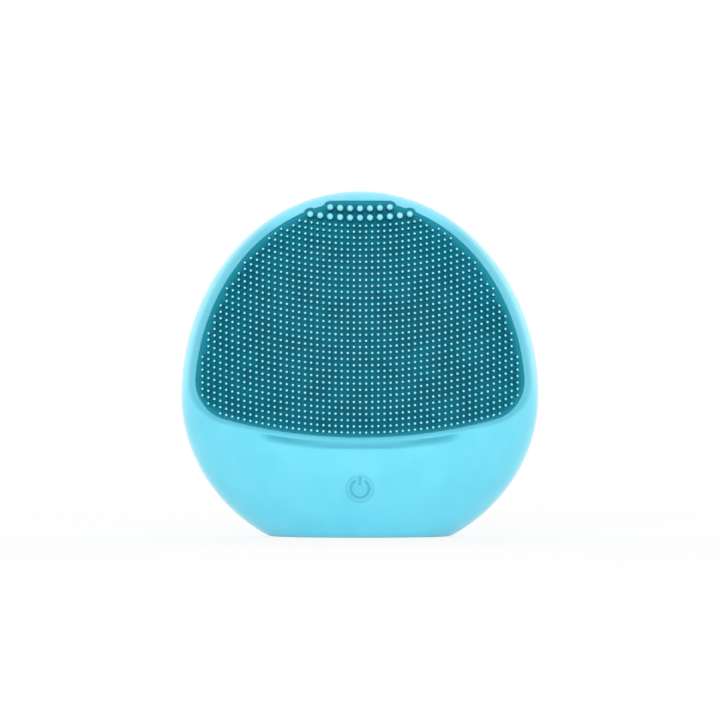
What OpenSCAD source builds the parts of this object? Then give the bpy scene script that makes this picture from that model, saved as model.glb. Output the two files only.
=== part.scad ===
// Facial cleansing brush. A soft silicone sleeve carries a panel of bristles
// and wraps a sealed two-part housing, which holds a vibration motor, a cell,
// a circuit board, a push button and a charging socket.
// Millimetres. +Z is up, the bristles face -Y, and the origin is the centre of
// the flat base that the brush stands on.

/* [Body] */
// Width of the body across its widest point
body_w = 80; // [74:0.5:90]
// Depth of the body from front to back, without the rear ridges
body_d = 30; // [28:0.5:36]
// Height of the widest point above the base
widest_z = 31.7; // [29:0.1:33]
// Height of the crown above the widest point
crown_h = 45.7; // [44:0.1:54]
// Full depth of the rounded underside, which the flat base cuts short
keel_h = 36.75; // [35.5:0.25:42]

/* [Sleeve] */
// Wall of the silicone sleeve
sleeve_t = 2; // [1.6:0.1:2.4]
// Height of the step under the panel, at its lower edge on the centre line
step_z = 20.1; // [18:0.1:20.5]
// Depth of the step below the skin
step_depth = 1.1; // [0.6:0.05:1.3]
// Lean of the step's face, from level
step_lean = 50; // [40:1:65]
// Radius of the step's arch, measured square to its face
step_arch_r = 115; // [95:1:150]
// Radius across the width of the flat face under the step
face_r = 200; // [150:5:300]

/* [Rear ridges] */
// Number of massage ridges
ridge_count = 8; // [4:1:9]
// Spacing of the ridges
ridge_pitch = 4.2; // [3.6:0.1:4.6]
// Width of a ridge
ridge_w = 1.8; // [1:0.1:2.4]
// Height of a ridge above the skin
ridge_h = 0.7; // [0.4:0.05:1]
// Height of the middle of the ridged field above the base
ridge_z = 44; // [40:0.5:46]
// Width of the ridged field
ridge_field_w = 52; // [40:1:58]
// Height of the ridged field
ridge_field_h = 36; // [28:1:40]

/* [Bristle panel] */
// Width of the plain rim between the sides of the panel and of the body
panel_rim = 3.4; // [2.6:0.1:4.5]
// Height of the plain rim above the panel
panel_top_rim = 2.4; // [2.2:0.1:4]
// Height of the lowest point of the panel
panel_low_z = 22.5; // [22.2:0.1:24]
// Radius of the panel's lower edge
panel_low_r = 118; // [100:1:150]
// Radius of the panel's lower corners
panel_corner_r = 9; // [6:0.1:11]
// Depth of the panel's face below the skin of the sleeve
panel_sink = 0.3; // [0.2:0.05:0.5]

/* [Bristles] */
// Height above the panel's top of the centre that all rows of bristles curve about
row_centre_rise = 65.8; // [60:0.1:80]
// Depth of the top row of fine bristles below the panel's top, on the centre line
fine_drop = 5.7; // [5.2:0.1:8]
// Spacing of the fine bristles, along and across the rows
fine_pitch = 1.345; // [1.3:0.005:1.6]
// Diameter of a fine bristle
fine_d = 0.72; // [0.5:0.02:0.9]
// Height of a fine bristle above the panel
fine_h = 1.4; // [1:0.1:2.2]
// Plain margin between the outermost fine bristles and the panel's edge
fine_margin = 0.9; // [0.7:0.1:1.6]
// Depth of the top row of thick bristles below the panel's top, on the centre line
thick_drop = 1.8; // [1.5:0.1:2.4]
// Number of thick bristles in the top row
thick_count = 7; // [3:2:9]
// Number of thick bristles that each next row adds
thick_step = 4; // [0:2:4]
// Number of rows of thick bristles
thick_rows = 2; // [1:1:2]
// Spacing of the thick bristles along a row
thick_pitch = 2.21; // [2.1:0.01:2.4]
// Spacing of the rows of thick bristles
thick_row_pitch = 2.1; // [1.95:0.05:2.2]
// Diameter of a thick bristle
thick_d = 1.6; // [1.2:0.05:1.8]
// Height of a thick bristle above the panel
thick_h = 2; // [1.4:0.1:2.6]
// Width of the plain margin round the thick bristles
thick_margin = 0.7; // [0.4:0.05:0.8]
// Depth that each bristle is rooted in the panel
bristle_root = 0.9; // [0.7:0.05:1]

/* [Housing] */
// Wall of the hard housing
housing_t = 1.5; // [1.2:0.1:1.8]
// Thickness of the gasket between the halves of the housing
gasket_t = 0.6; // [0.4:0.1:1]
// Width of the gasket, across the housing's wall
gasket_w = 0.9; // [0.6:0.1:1.1]
// Radius of the four screw bosses
boss_r = 3.2; // [2.8:0.1:3.4]
// Distance of the lower screws from the centre line
low_screw_x = 26; // [24:0.5:27]
// Height of the lower screws
low_screw_z = 26; // [25:0.5:34]
// Distance of the upper screws from the centre line
high_screw_x = 20.5; // [20:0.5:22]
// Height of the upper screws
high_screw_z = 56; // [52:0.5:57]
// Shank radius of a housing screw
case_screw_r = 1.1; // [0.8:0.05:1.3]
// Head radius of a housing screw
case_head_r = 2; // [1.7:0.1:2.1]
// Head height of a housing screw
case_head_h = 1.3; // [1:0.1:1.6]
// Length of a housing screw's shank
case_screw_l = 9; // [8:0.5:10]
// Room beyond the end of a screw in its hole
screw_room = 0.5; // [0.3:0.1:0.8]
// Distance of the screw heads' seats behind the parting plane
case_seat_y = 4; // [3:0.5:4.5]

/* [Button] */
// Height of the power button
button_z = 11.1; // [10.8:0.1:11.2]
// Radius of the power button
button_r = 3.1; // [2.8:0.1:3.1]
// Thickness of the power button's cap
button_t = 1.5; // [1.2:0.05:1.55]
// Radius of the stem behind the cap
stem_r = 2; // [1.7:0.1:2.2]
// Travel of the power button
button_travel = 0.35; // [0.2:0.05:0.4]
// Radius of the guide round the stem
guide_r = 3.4; // [3:0.1:3.6]
// Room between the guide and the end of the plunger
guide_room = 1; // [0.8:0.1:1.4]
// Width and height of the switch
switch_w = 4.5; // [4:0.1:5]
// Depth of the switch's body
switch_t = 3.3; // [2.8:0.1:3.6]
// Radius of the switch's plunger
plunger_r = 1.2; // [1:0.05:1.4]
// Length of the plunger that stands out of the switch
plunger_out = 0.9; // [0.7:0.1:1.1]
// Length of the plunger inside the switch
plunger_in = 1; // [0.6:0.1:1.2]

/* [Charging socket] */
// Height of the charging socket
port_z = 9; // [9:0.1:9.4]
// Radius of the plug that the socket takes
plug_r = 1.25; // [1:0.05:1.4]
// Thickness of the block's floor behind the contact
port_floor = 1.1; // [0.8:0.1:1.4]
// Radius of the socket's nose
nose_r = 2.4; // [2.1:0.1:2.5]
// Recess of the nose below the skin
nose_recess = 0.35; // [0.2:0.05:0.6]
// Width of the socket's block
port_block_w = 6.5; // [6:0.1:7]
// Height of the socket's block
port_block_h = 6; // [5.4:0.1:6.2]
// Room between the block and the housing's wall
port_room = 1.1; // [0.9:0.1:1.4]
// Radius of the hole in the sleeve round the nose
port_hole_r = 3; // [2.8:0.1:3.4]
// Thickness of the seal round the nose
seal_t = 0.6; // [0.4:0.1:0.7]
// Width of the seal round the nose
seal_w = 1.1; // [0.8:0.1:1.2]
// Radius of the socket's spring contact
contact_r = 0.9; // [0.6:0.1:1]
// Length of the socket's spring contact
contact_l = 1.2; // [0.8:0.1:1.4]

/* [Circuit board] */
// Width of the circuit board
board_w = 26; // [25:0.5:28]
// Height of the circuit board
board_h = 33; // [31:0.5:35]
// Thickness of the circuit board
board_t = 1.2; // [0.8:0.1:1.6]
// Distance of the board's front face from the parting plane
board_y = 2; // [1.8:0.1:2.4]
// Room between the housing's floor and the board
board_room = 1.9; // [1.5:0.1:2.2]
// Corner cut of the board
board_cut = 3; // [1:0.5:4]
// Inset of the board's screws from its sides
board_screw_side = 2.5; // [2:0.1:3]
// Inset of the board's screws from its top and bottom
board_screw_end = 3.5; // [3.2:0.1:4.5]
// Radius of the posts that carry the board
board_post_r = 2.2; // [1.8:0.1:2.4]
// Width and height of the controller chip
chip_w = 6; // [4:0.5:7]
// Thickness of the chips and small components
chip_t = 0.9; // [0.6:0.1:1.1]
// Height of the controller chip's middle above the board's lower edge
chip_rise = 19; // [18:0.5:22]
// Width of a small component
component_w = 1.6; // [1.2:0.1:2]
// Height of a small component
component_h = 0.8; // [0.6:0.1:1.2]
// Spacing of the small components, one above another
component_pitch = 2.4; // [1.8:0.1:3]
// Distance of the small components' columns from the side of the chip
component_room = 2; // [1.4:0.1:3]
// Width and height of the coil
coil_w = 3; // [2.4:0.1:3.4]
// Thickness of the coil
coil_t = 1.35; // [1:0.05:1.6]
// Distance of the coil's middle above the chip
coil_rise = 2.5; // [2:0.1:4]
// Sideways place of the status light
led_x = 5.6; // [5.4:0.1:6]
// Width and height of the status light
led_w = 1.6; // [1.2:0.1:2]
// Radius of the light pipe
pipe_r = 1.1; // [0.8:0.05:1.2]
// Thickness of the light pipe's flange
pipe_flange_t = 0.8; // [0.6:0.1:1]
// Width of the light pipe's flange
pipe_flange_w = 0.5; // [0.3:0.1:0.6]

/* [Small screws] */
// Shank radius of the board and bracket screws
small_screw_r = 0.8; // [0.6:0.05:0.9]
// Head radius of the board and bracket screws
small_head_r = 1.5; // [1.2:0.1:1.7]
// Head height of the board and bracket screws
small_head_h = 1; // [0.7:0.1:1.2]
// Length of the board and bracket screws' shanks
small_screw_l = 5; // [4:0.5:6]

/* [Cell] */
// Width of the lithium cell
cell_w = 34; // [30:0.5:36]
// Thickness of the lithium cell
cell_t = 6.5; // [5:0.1:6.5]
// Height of the lithium cell
cell_h = 20; // [17:0.5:20]
// Radius of the cell's long edges
cell_edge_r = 1.5; // [0.5:0.1:2.4]
// Room between the socket's block and the cell
cell_room = 2.5; // [2:0.1:3]
// Room between the board's screw heads and the cell
cell_head_room = 1; // [0.8:0.1:1.4]
// Width of the foam pad behind the cell
foam_w = 24; // [18:1:26]
// Height of the foam pad behind the cell
foam_h = 14; // [10:0.5:16]

/* [Motor] */
// Radius of the motor's can
motor_r = 5; // [4.6:0.1:5.2]
// Height of the motor's can
motor_h = 14; // [12:0.5:15]
// Wall of the motor's can
can_t = 0.5; // [0.4:0.05:0.6]
// Thickness of the motor's end cap
end_cap_t = 1.2; // [1:0.1:1.4]
// Height and width of the end cap's lip inside the can
end_cap_lip = 1; // [0.6:0.1:1.2]
// Room between the circuit board and the motor
motor_room = 4.3; // [4:0.1:4.6]
// Radius of the motor's shaft
shaft_r = 0.75; // [0.5:0.05:0.9]
// Outer radius of the shaft's bearings
bearing_r = 1.6; // [1.4:0.05:1.8]
// Length of a bearing
bearing_l = 1.6; // [1.2:0.1:2]
// Thickness of the ring magnet
magnet_t = 0.8; // [0.6:0.1:1]
// Length of the ring magnet and of the rotor's core
core_l = 8; // [7:0.5:9]
// Width of a slot in the rotor's core
core_slot_w = 0.8; // [0.5:0.1:1.2]
// Depth of a slot in the rotor's core
core_slot_depth = 1.3; // [0.8:0.1:1.6]
// Air gap between the rotor's core and the magnet
air_gap = 0.3; // [0.2:0.05:0.4]
// Outer radius of the eccentric weight
weight_r = 4.4; // [3.8:0.1:4.8]
// Thickness of the eccentric weight
weight_t = 5; // [4:0.25:5.5]
// Radius of the eccentric weight's hub
weight_hub_r = 1.7; // [1.4:0.1:2]
// Room between the motor's can and the weight
weight_room = 2.5; // [1.5:0.1:3]
// Wall of the rubber boot round the motor
boot_t = 1; // [0.7:0.1:1.2]
// Height of the rubber boot
boot_h = 11.5; // [10.5:0.5:12]
// Wall of the motor bracket's ring
bracket_t = 1.4; // [1:0.1:1.6]
// Height of the motor bracket
bracket_h = 9; // [7:0.5:10]
// Thickness of the bracket's ears
ear_t = 1.6; // [1.2:0.1:2]
// Distance of the bracket's screws from the centre line
bracket_screw_x = 12; // [11.8:0.1:12.6]
// Radius of the posts that carry the bracket
bracket_post_r = 2.4; // [2:0.1:2.6]
// Distance that the bracket's ears reach past the posts
ear_margin = 1; // [0.6:0.1:1.4]
// Radius of the battery and motor wires
wire_r = 0.55; // [0.4:0.05:0.6]
// Distance of the battery wires from the centre line
cell_wire_x = 6; // [5:0.5:7]
// Distance of the motor wires from the centre line
motor_wire_x = 2; // [1.6:0.1:2.4]
// Distance of the wires behind the front of the cell
wire_inset = 1; // [0.8:0.1:1.4]
// Straight length of the wires below the cell
cell_wire_l = 0.4; // [0.2:0.1:1]
// Straight length of the wires below the motor
motor_wire_l = 3; // [2.6:0.1:3.4]

/* [Clearances] */
// Gap between fixed pieces that fit together
fit_gap = 0.1; // [0.05:0.01:0.15]
// Gap round a piece that slides
slide_gap = 0.12; // [0.1:0.01:0.15]
// Gap between the motor's shaft and its bearings
run_gap = 0.03; // [0.02:0.01:0.05]
// Gap between a screw's shank and its hole
screw_gap = 0.05; // [0.04:0.01:0.1]

/* [Hidden] */
$fn = 64;

// Facets of a bristle and of the wide arcs
bristle_facets = 24;
arc_facets = 360;

skin_colour = [0.48, 0.88, 0.98];
panel_colour = [0.08, 0.45, 0.52];

// How far each layer lies inside the outer skin
housing_inset = sleeve_t + fit_gap;
cavity_inset = housing_inset + housing_t;
boss_inset = housing_inset + housing_t / 2;

// How far cutting shapes reach beyond the body, and past the faces they cut through
reach = 2 * body_w;
past = housing_t / 2;

// Bristle panel
panel_half_w = body_w / 2 - panel_rim;
panel_top_z = widest_z + crown_h - panel_top_rim;
row_centre_z = panel_top_z + row_centre_rise;
fine_top_z = panel_top_z - fine_drop;
thick_top_z = panel_top_z - thick_drop;
panel_low_centre_z = panel_low_z + panel_low_r;
corner_x = panel_half_w - panel_corner_r;
corner_z = panel_low_centre_z - sqrt(pow(panel_low_r - panel_corner_r, 2) - corner_x * corner_x);
arch_h = panel_top_z - widest_z;
arch_half_w = panel_half_w / sqrt(1 - pow((corner_z - widest_z) / arch_h, 2));

// The row of fine bristles at which their lower half starts
fine_split = ceil((fine_top_z - panel_low_z) / fine_pitch / 2) + 1;

// Circuit board, in heights and in distances from the parting plane
board_z = cavity_inset + board_room;
board_rear_y = board_t - board_y;
board_post_x = board_w / 2 - board_screw_side;
board_post_zs = [board_z + board_screw_end, board_z + board_h - board_screw_end];
switch_y = board_y + switch_t;
plunger_y = switch_y + plunger_out;
port_block_y = half_depth(port_block_w / 2, port_z - port_block_h / 2, cavity_inset) - port_room;
seal_y = port_block_y + seal_t;
nose_y = half_depth(0, port_z - nose_r, 0) - nose_recess;
bore_y = board_rear_y + port_floor + fit_gap + contact_l;

// Cell
cell_z = port_z + port_block_h / 2 + cell_room;
cell_y = board_rear_y + small_head_h + cell_head_room;
wire_y = cell_y + wire_inset;

// Motor, from the bottom up
motor_z = board_z + board_h + motor_room;
can_z = motor_z + end_cap_t;
can_top_z = can_z + motor_h;
core_z = can_z + (motor_h - core_l) / 2;
core_r = motor_r - can_t - fit_gap - magnet_t - air_gap;
boot_r = motor_r + fit_gap + boot_t;
boot_z = can_z + (motor_h - boot_h) / 2;
bracket_r = boot_r + fit_gap;
bracket_z = boot_z + (boot_h - bracket_h) / 2;
bracket_screw_z = bracket_z + bracket_h / 2;
ear_end_x = bracket_screw_x + bracket_post_r + ear_margin;
weight_z = can_top_z + weight_room;

// Places of the housing's four screws, as [x, z]
case_screws = [
    [-low_screw_x, low_screw_z], [low_screw_x, low_screw_z],
    [-high_screw_x, high_screw_z], [high_screw_x, high_screw_z]
];

// Distance of a layer of the egg-shaped body from the parting plane
function half_depth(x, z, inset) =
    let (across = x / (body_w / 2 - inset))
    let (up = (z - widest_z) / ((z > widest_z ? crown_h : keel_h) - inset))
    (body_d / 2 - inset) * sqrt(max(0, 1 - across * across - up * up));

// Half of the egg, between two heights
module egg_half(inset, height, low, high) {
    intersection() {
        translate([0, 0, widest_z])
            scale([body_w / 2 - inset, body_d / 2 - inset, height - inset]) sphere(1);
        translate([-reach, -reach, low]) cube([2 * reach, 2 * reach, high - low]);
    }
}

// The body's outline inset by a distance, with its flat base
module egg(inset) {
    egg_half(inset, crown_h, widest_z, widest_z + 2 * crown_h);
    egg_half(inset, keel_h, inset, widest_z);
}

// A round bar along Y between two distances from the parting plane
module bar(place, from_y, to_y, r) {
    translate([place[0], to_y, place[1]]) rotate([90, 0, 0]) cylinder(h = to_y - from_y, r = r);
}

// A flat outline in X and Z, carried along Y from the parting plane to the front
module to_front() {
    rotate([90, 0, 0]) linear_extrude(body_d) children();
}

module to_rear() {
    translate([0, body_d, 0]) rotate([90, 0, 0]) linear_extrude(body_d) children();
}

// Everything in front of, or behind, a distance from the parting plane
module front_of(y) {
    translate([-reach, y - reach, -reach]) cube([2 * reach, reach, 2 * reach]);
}

module rear_of(y) {
    translate([-reach, y, -reach]) cube([2 * reach, reach, 2 * reach]);
}

// The panel: an arch of an ellipse above, a wide arc below, two rounded corners
// and the tabs at the top that make room for the thick bristles
module panel_outline(inset) {
    tab_r = thick_d / 2 + thick_margin - inset;
    top_x = thick_end_x(0);
    translate([-top_x, thick_top_z - tab_r]) square([2 * top_x, 2 * tab_r]);
    for (side = [-1, 1], row = [0:thick_rows - 1]) {
        translate([side * thick_end_x(row), thick_z(thick_end_x(row), row)]) circle(tab_r);
    }
    intersection() {
        translate([0, widest_z]) scale([arch_half_w - inset, arch_h - inset]) circle(1);
        translate([-reach, corner_z]) square([2 * reach, reach]);
    }
    for (side = [-1, 1]) {
        translate([side * corner_x, corner_z]) circle(panel_corner_r - inset);
    }
    intersection() {
        translate([0, panel_low_centre_z]) circle(panel_low_r - inset, $fn = arc_facets);
        translate([0, panel_low_centre_z]) polygon([
            [0, 0],
            [-2 * corner_x, 2 * (corner_z - panel_low_centre_z)],
            [2 * corner_x, 2 * (corner_z - panel_low_centre_z)]
        ]);
        translate([-reach, -reach]) square([2 * reach, reach + corner_z + fit_gap]);
    }
}

// Whether x and z lie in the panel, at least a margin from its edge
function in_panel(x, z, margin) =
    z > corner_z
        ? norm([x / (arch_half_w - margin), (z - widest_z) / (arch_h - margin)]) < 1
        : abs(x) * (panel_low_centre_z - corner_z) > corner_x * (panel_low_centre_z - z)
            ? norm([abs(x) - corner_x, z - corner_z]) < panel_corner_r - margin
            : norm([x, z - panel_low_centre_z]) < panel_low_r - margin;

// What the step under the panel takes off the sleeve
module step_cut() {
    face_y = half_depth(0, step_z, 0) - step_depth;
    difference() {
        translate([-body_w / 2, -body_d, 0]) cube([body_w, body_d, widest_z]);
        translate([0, face_r - face_y, -past]) cylinder(h = body_w, r = face_r, $fn = arc_facets);
        translate([0, -face_y, step_z]) rotate([-step_lean, 0, 0])
            translate([0, 0, step_arch_r]) rotate([90, 0, 0])
                cylinder(h = body_w, r = step_arch_r, center = true, $fn = arc_facets);
    }
}

// Curved ribs that stand out of the rear skin
module rear_ridges() {
    intersection() {
        egg(-ridge_h);
        to_rear() intersection() {
            translate([0, ridge_z]) scale([ridge_field_w / 2, ridge_field_h / 2]) circle(1);
            for (i = [0:ridge_count - 1]) {
                r = row_centre_z - ridge_z + (i - (ridge_count - 1) / 2) * ridge_pitch;
                translate([0, row_centre_z]) difference() {
                    circle(r + ridge_w / 2, $fn = arc_facets);
                    circle(r - ridge_w / 2, $fn = arc_facets);
                }
            }
        }
    }
}

module silicone_sleeve() {
    color(skin_colour) difference() {
        union() {
            difference() {
                egg(0);
                step_cut();
            }
            rear_ridges();
        }
        egg(sleeve_t);
        to_front() panel_outline(0);
        bar([0, button_z], -body_d, 0, button_r + slide_gap);
        bar([0, port_z], 0, body_d, port_hole_r);
    }
}

module bristle_pad() {
    color(panel_colour) difference() {
        intersection() {
            to_front() panel_outline(fit_gap);
            egg(panel_sink);
        }
        egg(sleeve_t);
    }
}

// One bristle, rooted in the pad and standing straight out to the front
module bristle(x, z, d, h) {
    pad_y = half_depth(x, z, panel_sink);
    bar([x, z], -pad_y - h, bristle_root - pad_y, d / 2, $fn = bristle_facets);
}

// Sideways place of the last thick bristle in a row
function thick_end_x(row) = (thick_count - 1 + row * thick_step) / 2 * thick_pitch;

// Height of the thick bristle at x in a row
function thick_z(x, row) =
    row_centre_z - sqrt(pow(row_centre_z - thick_top_z + row * thick_row_pitch, 2) - x * x);

// Rows of fine bristles, counted down from the top, one column on the centre line
module fine_rows(from_row, to_row) {
    columns = floor(panel_half_w / fine_pitch);
    color("lightcyan") for (row = [from_row:to_row], column = [-columns:columns]) {
        x = column * fine_pitch;
        z = row_centre_z - sqrt(pow(row_centre_z - fine_top_z + row * fine_pitch, 2) - x * x);
        if (in_panel(x, z, fine_margin)) bristle(x, z, fine_d, fine_h);
    }
}

module fine_bristles_upper() {
    fine_rows(0, fine_split - 1);
}

module fine_bristles_lower() {
    fine_rows(fine_split, 2 * fine_split);
}

module thick_bristles() {
    color("lightcyan") for (row = [0:thick_rows - 1]) {
        for (x = [-thick_end_x(row):thick_pitch:thick_end_x(row) + fit_gap]) {
            bristle(x, thick_z(x, row), thick_d, thick_h);
        }
    }
}

module power_button() {
    color(skin_colour) {
        intersection() {
            difference() {
                egg(0);
                egg(button_t);
            }
            bar([0, button_z], -body_d, 0, button_r);
        }
        bar([0, button_z], -half_depth(0, button_z, button_t / 2), -plunger_y, stem_r);
    }
}

module housing_shell() {
    difference() {
        egg(housing_inset);
        egg(cavity_inset);
    }
}

module front_housing() {
    color("white") difference() {
        union() {
            intersection() {
                housing_shell();
                front_of(-gasket_t / 2);
            }
            intersection() {
                egg(boss_inset);
                union() {
                    for (place = case_screws) bar(place, -body_d, 0, boss_r);
                    for (side = [-1, 1], z = board_post_zs)
                        bar([side * board_post_x, z], -body_d, -board_y, board_post_r);
                    bar([0, button_z], -body_d, -plunger_y - guide_room, guide_r);
                }
            }
        }
        for (place = case_screws)
            bar(place, case_seat_y - case_screw_l - screw_room, past, case_screw_r + screw_gap);
        for (side = [-1, 1], z = board_post_zs)
            bar([side * board_post_x, z], -board_y - small_screw_l, 0, small_screw_r + screw_gap);
        bar([0, button_z], -body_d, 0, stem_r + slide_gap);
        bar([led_x, button_z], -body_d, 0, pipe_r + fit_gap);
    }
}

module rear_housing() {
    color("white") difference() {
        union() {
            intersection() {
                housing_shell();
                rear_of(gasket_t / 2);
            }
            intersection() {
                egg(boss_inset);
                union() {
                    for (place = case_screws) bar(place, 0, body_d, boss_r);
                    for (side = [-1, 1])
                        bar([side * bracket_screw_x, bracket_screw_z], ear_t, body_d, bracket_post_r);
                    bar([0, port_z], seal_y, body_d, nose_r + seal_w + housing_t / 2);
                }
            }
        }
        for (place = case_screws) {
            bar(place, -past, body_d, case_screw_r + screw_gap);
            bar(place, case_seat_y, body_d, case_head_r + fit_gap);
        }
        for (side = [-1, 1])
            bar([side * bracket_screw_x, bracket_screw_z], 0, small_screw_l + screw_room,
                small_screw_r + screw_gap);
        bar([0, port_z], 0, body_d, nose_r + fit_gap);
    }
}

// The body's outline at the parting plane, inset by a distance
module egg_outline(inset) {
    for (half = [[crown_h, widest_z, widest_z + crown_h], [keel_h, inset, widest_z]]) {
        intersection() {
            translate([0, widest_z]) scale([body_w / 2 - inset, half[0] - inset]) circle(1);
            translate([-reach, half[1]]) square([2 * reach, half[2] - half[1]]);
        }
    }
}

module housing_gasket() {
    margin = (housing_t - gasket_w) / 2;
    color("dimgray") translate([0, gasket_t / 2, 0]) rotate([90, 0, 0]) linear_extrude(gasket_t)
        difference() {
            egg_outline(housing_inset + margin);
            egg_outline(cavity_inset - margin);
        }
}

// A screw along Y whose head lies on a seat; a positive way points its head to the rear
module screw(place, seat_y, way, shank_r, shank_l, head_r, head_h) {
    translate([place[0], seat_y, place[1]]) rotate([-90 * way, 0, 0]) difference() {
        union() {
            cylinder(h = head_h, r = head_r);
            translate([0, 0, -shank_l]) cylinder(h = shank_l + head_h / 2, r = shank_r);
        }
        translate([0, 0, head_h / 2]) cylinder(h = head_h, r = head_r / 2, $fn = 6);
    }
}

module housing_screws() {
    color("silver") for (place = case_screws)
        screw(place, case_seat_y, 1, case_screw_r, case_screw_l, case_head_r, case_head_h);
}

module circuit_board() {
    left = -board_w / 2;
    top = board_z + board_h;
    color("darkgreen") difference() {
        translate([0, -board_y + board_t, 0]) rotate([90, 0, 0]) linear_extrude(board_t) polygon([
            [left + board_cut, board_z], [-left - board_cut, board_z],
            [-left, board_z + board_cut], [-left, top - board_cut],
            [-left - board_cut, top], [left + board_cut, top],
            [left, top - board_cut], [left, board_z + board_cut]
        ]);
        for (side = [-1, 1], z = board_post_zs)
            bar([side * board_post_x, z], -body_d, body_d, small_screw_r + screw_gap);
    }
}

module board_screws() {
    color("silver") for (side = [-1, 1], z = board_post_zs)
        screw([side * board_post_x, z], board_rear_y, 1,
            small_screw_r, small_screw_l, small_head_r, small_head_h);
}

// A flat block on the front of the circuit board, centred at x and z
module on_board(x, z, w, h, t) {
    translate([x - w / 2, -board_y - t, z - h / 2]) cube([w, t, h]);
}

module controller_chip() {
    color([0.1, 0.1, 0.1]) on_board(0, board_z + chip_rise, chip_w, chip_w, chip_t);
}

// Two columns of capacitors and resistors beside the chip, and a coil above it
module board_components() {
    column_x = chip_w / 2 + component_room;
    chip_z = board_z + chip_rise;
    color("tan") {
        for (side = [-1, 1], i = [-1:1])
            on_board(side * column_x, chip_z + i * component_pitch, component_w, component_h, chip_t);
        on_board(0, chip_z + chip_w / 2 + coil_rise, coil_w, coil_w, coil_t);
    }
}

module tact_switch() {
    well_y = switch_y - plunger_in - button_travel - fit_gap;
    color([0.15, 0.15, 0.15]) difference() {
        on_board(0, button_z, switch_w, switch_w, switch_t);
        bar([0, button_z], -body_d, -well_y, plunger_r + slide_gap);
    }
}

module switch_plunger() {
    color("ivory") bar([0, button_z], -plunger_y, -switch_y + plunger_in, plunger_r);
}

module status_led() {
    color("white") on_board(led_x, button_z, led_w, led_w, chip_t);
}

module light_pipe() {
    flange_r = pipe_r + fit_gap + pipe_flange_w;
    flange_y = half_depth(led_x + flange_r, button_z - flange_r, cavity_inset) - fit_gap;
    tip_y = half_depth(led_x + pipe_r, button_z - pipe_r, housing_inset) - fit_gap;
    color([0.9, 0.95, 1, 0.5]) {
        bar([led_x, button_z], -tip_y, -board_y - chip_t - fit_gap, pipe_r);
        bar([led_x, button_z], -flange_y, pipe_flange_t - flange_y, flange_r);
    }
}

module charge_socket() {
    color([0.1, 0.1, 0.1]) difference() {
        union() {
            translate([-port_block_w / 2, board_rear_y, port_z - port_block_h / 2])
                cube([port_block_w, port_block_y - board_rear_y, port_block_h]);
            bar([0, port_z], port_block_y - past, nose_y, nose_r);
        }
        bar([0, port_z], bore_y, body_d, plug_r);
        bar([0, port_z], bore_y - contact_l - fit_gap, bore_y + past, contact_r + fit_gap);
    }
}

module socket_contact() {
    color("gold") bar([0, port_z], bore_y - contact_l, bore_y, contact_r);
}

module port_seal() {
    color("dimgray") difference() {
        bar([0, port_z], port_block_y, seal_y, nose_r + fit_gap + seal_w);
        bar([0, port_z], 0, body_d, nose_r + fit_gap);
    }
}

module battery_cell() {
    color("slategray") translate([-cell_w / 2, cell_y, cell_z]) difference() {
        cube([cell_w, cell_t, cell_h]);
        for (x = [0, cell_w], y = [0, cell_t]) cell_edge(x, y);
    }
}

// What rounding one upright edge takes off the cell
module cell_edge(x, y) {
    toward_x = x == 0 ? 1 : -1;
    toward_y = y == 0 ? 1 : -1;
    difference() {
        translate([x, y, cell_h / 2])
            cube([2 * cell_edge_r, 2 * cell_edge_r, 2 * cell_h], center = true);
        translate([x + toward_x * cell_edge_r, y + toward_y * cell_edge_r, -cell_h])
            cylinder(h = 3 * cell_h, r = cell_edge_r);
    }
}

module battery_foam() {
    color("gainsboro") intersection() {
        translate([-foam_w / 2, cell_y + cell_t, cell_z + (cell_h - foam_h) / 2])
            cube([foam_w, body_d, foam_h]);
        egg(cavity_inset + fit_gap);
    }
}

// Two wires that hang from a height, then bend forward to the back of the board
module wires(x, from_z, straight_l) {
    bend_r = wire_y - board_rear_y;
    for (side = [-1, 1]) translate([side * x, 0, from_z - straight_l]) {
        translate([0, wire_y, 0]) cylinder(h = straight_l, r = wire_r);
        translate([0, board_rear_y, 0]) mirror([0, 0, 1]) rotate([90, 0, 90])
            rotate_extrude(angle = 90) translate([bend_r, 0]) circle(wire_r);
    }
}

module battery_wires() {
    color("crimson") wires(cell_wire_x, cell_z, cell_wire_l);
}

module motor_wires() {
    color("royalblue") wires(motor_wire_x, motor_z, motor_wire_l);
}

// An upright tube with its foot at a height
module tube(z, h, outer_r, inner_r) {
    translate([0, 0, z]) difference() {
        cylinder(h = h, r = outer_r);
        translate([0, 0, -past]) cylinder(h = h + 2 * past, r = inner_r);
    }
}

module motor_can() {
    color("silver") {
        tube(can_z, motor_h - can_t, motor_r, motor_r - can_t);
        tube(can_top_z - can_t, can_t, motor_r, bearing_r);
    }
}

module motor_end_cap() {
    color("ivory") {
        tube(motor_z, end_cap_t, motor_r, bearing_r);
        tube(can_z, end_cap_lip, motor_r - can_t - fit_gap, motor_r - can_t - end_cap_lip);
    }
}

module motor_magnet() {
    outer_r = motor_r - can_t - fit_gap;
    color([0.25, 0.25, 0.28]) tube(core_z, core_l, outer_r, outer_r - magnet_t);
}

module motor_bearings() {
    color("darkgoldenrod") {
        tube(motor_z, bearing_l, bearing_r, shaft_r + run_gap);
        tube(can_top_z - bearing_l, bearing_l, bearing_r, shaft_r + run_gap);
    }
}

module motor_shaft() {
    color("silver") translate([0, 0, motor_z])
        cylinder(h = weight_z + weight_t - motor_z, r = shaft_r);
}

// A wound core with three slots
module rotor_core() {
    color("chocolate") difference() {
        tube(core_z, core_l, core_r, shaft_r);
        for (turn = [0:120:240]) rotate(turn)
            translate([core_r - core_slot_depth, -core_slot_w / 2, core_z - past])
                cube([core_r, core_slot_w, core_l + 2 * past]);
    }
}

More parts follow.
